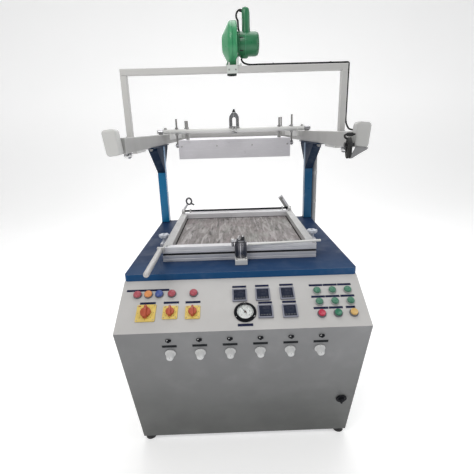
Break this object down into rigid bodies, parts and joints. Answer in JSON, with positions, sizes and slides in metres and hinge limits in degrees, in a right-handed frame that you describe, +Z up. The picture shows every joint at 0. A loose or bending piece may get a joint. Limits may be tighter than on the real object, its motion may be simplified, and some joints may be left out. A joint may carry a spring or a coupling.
{
  "type": "hobby vacuum forming machine",
  "caption": "Floor-standing vacuum forming machine with a sloped control panel, a hinged clamping frame over a rising bed, a sliding overhead heater and a cooling blower on an arch.",
  "frame": {"origin": "on the floor under the middle of the overall outline, seen from above", "axes": "+Z up, front with the control panel towards -Y, +X to the operator's right"},
  "size_m": [0.86, 1.514, 1.5734],
  "materials": {
    "cabinet_paint": "satin light grey enamel",
    "front_paint": "satin grey enamel",
    "table_blue": "semi-gloss dark blue enamel",
    "post_blue": "gloss blue enamel",
    "frame_grey": "light grey enamel",
    "white_paint": "white enamel",
    "galvanised": "galvanised sheet",
    "bed_steel": "streaked bare steel",
    "rail_aluminium": "extruded satin",
    "zinc_steel": "zinc plated",
    "chrome": "polished",
    "black_rubber": "moulded",
    "black_plastic": "fine grain",
    "dark_plastic": "satin",
    "green_plastic": "gloss",
    "pump_blue": "hammer finish",
    "ceramic": "glazed white",
    "lamp_red": "translucent",
    "button_red": "moulded",
    "button_green": "moulded",
    "button_yellow": "moulded",
    "yellow_plate": "moulded",
    "red_knob": "moulded",
    "label_blue": "engraved laminate",
    "white_knob": "moulded",
    "grey_conduit": "ribbed",
    "needle_red": "enamel"
  },
  "bodies": {
    "cabinet": {"feet": "black_rubber", "bottom_plate": "galvanised", "side_panel_left": "cabinet_paint", "side_panel_right": "cabinet_paint", "back_panel": "cabinet_paint", "control_panel": "cabinet_paint", "lower_front_panel": "front_paint", "top_plate": "table_blue", "forming_box": "galvanised", "platen_cylinder": "rail_aluminium", "vacuum_pump": "pump_blue", "posts": "post_blue", "beams": "frame_grey", "end_guards": "frame_grey", "gantry": "frame_grey", "blower_bracket": "white_paint", "blower_housing": "green_plastic", "blower_lead": "black_rubber", "wiring_conduit": "grey_conduit", "lower_clamp_frame": "rail_aluminium", "clamp_gasket": "black_rubber", "side_guide": "black_plastic", "latch_body": "zinc_steel", "panel_bezels": "dark_plastic", "lamp_lenses": "lamp_red", "cam_switch_plates": "yellow_plate", "controllers": "dark_plastic", "gauge_case": "black_plastic", "label_strips": "label_blue", "fasteners": "zinc_steel"},
    "bed": {"platen": "bed_steel"},
    "heater_carriage": {"heater_shell": "galvanised", "heater_elements": "ceramic", "heater_fasteners": "zinc_steel", "carriage_frame": "white_paint", "carriage_clevis": "chrome"},
    "front_roller_pair": {"front_rollers": "zinc_steel"},
    "rear_roller_pair": {"rear_rollers": "zinc_steel"},
    "clamp_lid": {"upper_clamp_frame": "rail_aluminium", "frame_handle": "rail_aluminium", "hinge_shaft": "zinc_steel"},
    "latch": {"latch_arm": "zinc_steel"},
    "knob_left": {"side_knob_left": "white_knob"},
    "knob_right": {"side_knob_right": "white_knob"},
    "fan": {"blower_impeller": "black_plastic"},
    "trigger": {"blower_trigger": "black_plastic"},
    "needle": {"gauge_needle": "needle_red"},
    "switch_1": {"cam_knob_1": "red_knob"},
    "switch_2": {"cam_knob_2": "red_knob"},
    "switch_3": {"cam_knob_3": "red_knob"},
    "push_red": {"button_red": "button_red"},
    "push_green": {"button_green": "button_green"},
    "push_yellow": {"button_yellow": "button_yellow"},
    "regulator_1": {"zone_knob_1": "white_knob"},
    "regulator_2": {"zone_knob_2": "white_knob"},
    "regulator_3": {"zone_knob_3": "white_knob"},
    "regulator_4": {"zone_knob_4": "white_knob"},
    "regulator_5": {"zone_knob_5": "white_knob"},
    "regulator_6": {"zone_knob_6": "white_knob"},
    "panel_lock": {"lock_knob": "black_plastic"}
  },
  "joints": [
    {"name": "heater_slide", "type": "slide", "parent": "cabinet", "child": "heater_carriage", "axis": [0, -1, 0], "range_m": [0, 0.575]},
    {"name": "front_roller_spin", "type": "hinge", "parent": "heater_carriage", "child": "front_roller_pair", "pos_m": [0, 0.241, 1.1733], "axis": [1, 0, 0], "range_deg": [-10, 2700]},
    {"name": "rear_roller_spin", "type": "hinge", "parent": "heater_carriage", "child": "rear_roller_pair", "pos_m": [0, 0.641, 1.1733], "axis": [1, 0, 0], "range_deg": [-10, 2700]},
    {"name": "clamp_lid_hinge", "type": "hinge", "parent": "cabinet", "child": "clamp_lid", "pos_m": [0, 0.143, 0.768], "axis": [1, 0, 0], "range_deg": [-45, 0]},
    {"name": "latch_swing", "type": "hinge", "parent": "cabinet", "child": "latch", "pos_m": [0.004, -0.4905, 0.77], "axis": [0, 0, -1], "range_deg": [0, 90]},
    {"name": "side_knob_left_turn", "type": "hinge", "parent": "cabinet", "child": "knob_left", "pos_m": [-0.316, -0.255, 0.74], "axis": [0, 0, 1], "range_deg": [0, 360]},
    {"name": "side_knob_right_turn", "type": "hinge", "parent": "cabinet", "child": "knob_right", "pos_m": [0.316, -0.255, 0.74], "axis": [0, 0, 1], "range_deg": [0, 360]},
    {"name": "bed_lift", "type": "slide", "parent": "cabinet", "child": "bed", "axis": [0, 0, 1], "range_m": [-0.1, 0]},
    {"name": "blower_fan_spin", "type": "hinge", "parent": "cabinet", "child": "fan", "pos_m": [0.018, -0.33, 1.4625], "axis": [1, 0, 0], "continuous": true},
    {"name": "blower_trigger_press", "type": "slide", "parent": "cabinet", "child": "trigger", "axis": [0, -1, 0], "range_m": [0, 0.003], "stiffness_N_per_m": 300},
    {"name": "gauge_needle_turn", "type": "hinge", "parent": "cabinet", "child": "needle", "pos_m": [0.008, -0.70257, 0.61764], "axis": [0, 0.5026, -0.8645], "range_deg": [0, 240]},
    {"name": "cam_switch_1_turn", "type": "hinge", "parent": "cabinet", "child": "switch_1", "pos_m": [-0.309, -0.69566, 0.62167], "axis": [0, 0.5026, -0.8645], "range_deg": [0, 90]},
    {"name": "cam_switch_2_turn", "type": "hinge", "parent": "cabinet", "child": "switch_2", "pos_m": [-0.2315, -0.69566, 0.62167], "axis": [0, 0.5026, -0.8645], "range_deg": [0, 90]},
    {"name": "cam_switch_3_turn", "type": "hinge", "parent": "cabinet", "child": "switch_3", "pos_m": [-0.1595, -0.69739, 0.62066], "axis": [0, 0.5026, -0.8645], "range_deg": [0, 90]},
    {"name": "red_button_press", "type": "slide", "parent": "cabinet", "child": "push_red", "axis": [0, 0.5026, -0.8645], "range_m": [0, 0.0035], "stiffness_N_per_m": 300},
    {"name": "green_button_press", "type": "slide", "parent": "cabinet", "child": "push_green", "axis": [0, 0.5026, -0.8645], "range_m": [0, 0.0035], "stiffness_N_per_m": 300},
    {"name": "yellow_button_press", "type": "slide", "parent": "cabinet", "child": "push_yellow", "axis": [0, 0.5026, -0.8645], "range_m": [0, 0.0035], "stiffness_N_per_m": 300},
    {"name": "zone_knob_1_turn", "type": "hinge", "parent": "cabinet", "child": "regulator_1", "pos_m": [-0.235, -0.72958, 0.49609], "axis": [0, 0.9565, 0.2917], "range_deg": [0, 270]},
    {"name": "zone_knob_2_turn", "type": "hinge", "parent": "cabinet", "child": "regulator_2", "pos_m": [-0.139, -0.72958, 0.49609], "axis": [0, 0.9565, 0.2917], "range_deg": [0, 270]},
    {"name": "zone_knob_3_turn", "type": "hinge", "parent": "cabinet", "child": "regulator_3", "pos_m": [-0.043, -0.72958, 0.49609], "axis": [0, 0.9565, 0.2917], "range_deg": [0, 270]},
    {"name": "zone_knob_4_turn", "type": "hinge", "parent": "cabinet", "child": "regulator_4", "pos_m": [0.053, -0.72958, 0.49609], "axis": [0, 0.9565, 0.2917], "range_deg": [0, 270]},
    {"name": "zone_knob_5_turn", "type": "hinge", "parent": "cabinet", "child": "regulator_5", "pos_m": [0.149, -0.72958, 0.49609], "axis": [0, 0.9565, 0.2917], "range_deg": [0, 270]},
    {"name": "zone_knob_6_turn", "type": "hinge", "parent": "cabinet", "child": "regulator_6", "pos_m": [0.245, -0.72958, 0.49609], "axis": [0, 0.9565, 0.2917], "range_deg": [0, 270]},
    {"name": "panel_lock_turn", "type": "hinge", "parent": "cabinet", "child": "panel_lock", "pos_m": [0.354, -0.64645, 0.22348], "axis": [0, 0.9565, 0.2917], "range_deg": [0, 90]}
  ],
  "couplings": [
    {"joint": "front_roller_spin", "follows": "heater_slide", "rad_per_m": 76.923},
    {"joint": "rear_roller_spin", "follows": "heater_slide", "rad_per_m": 76.923}
  ]
}
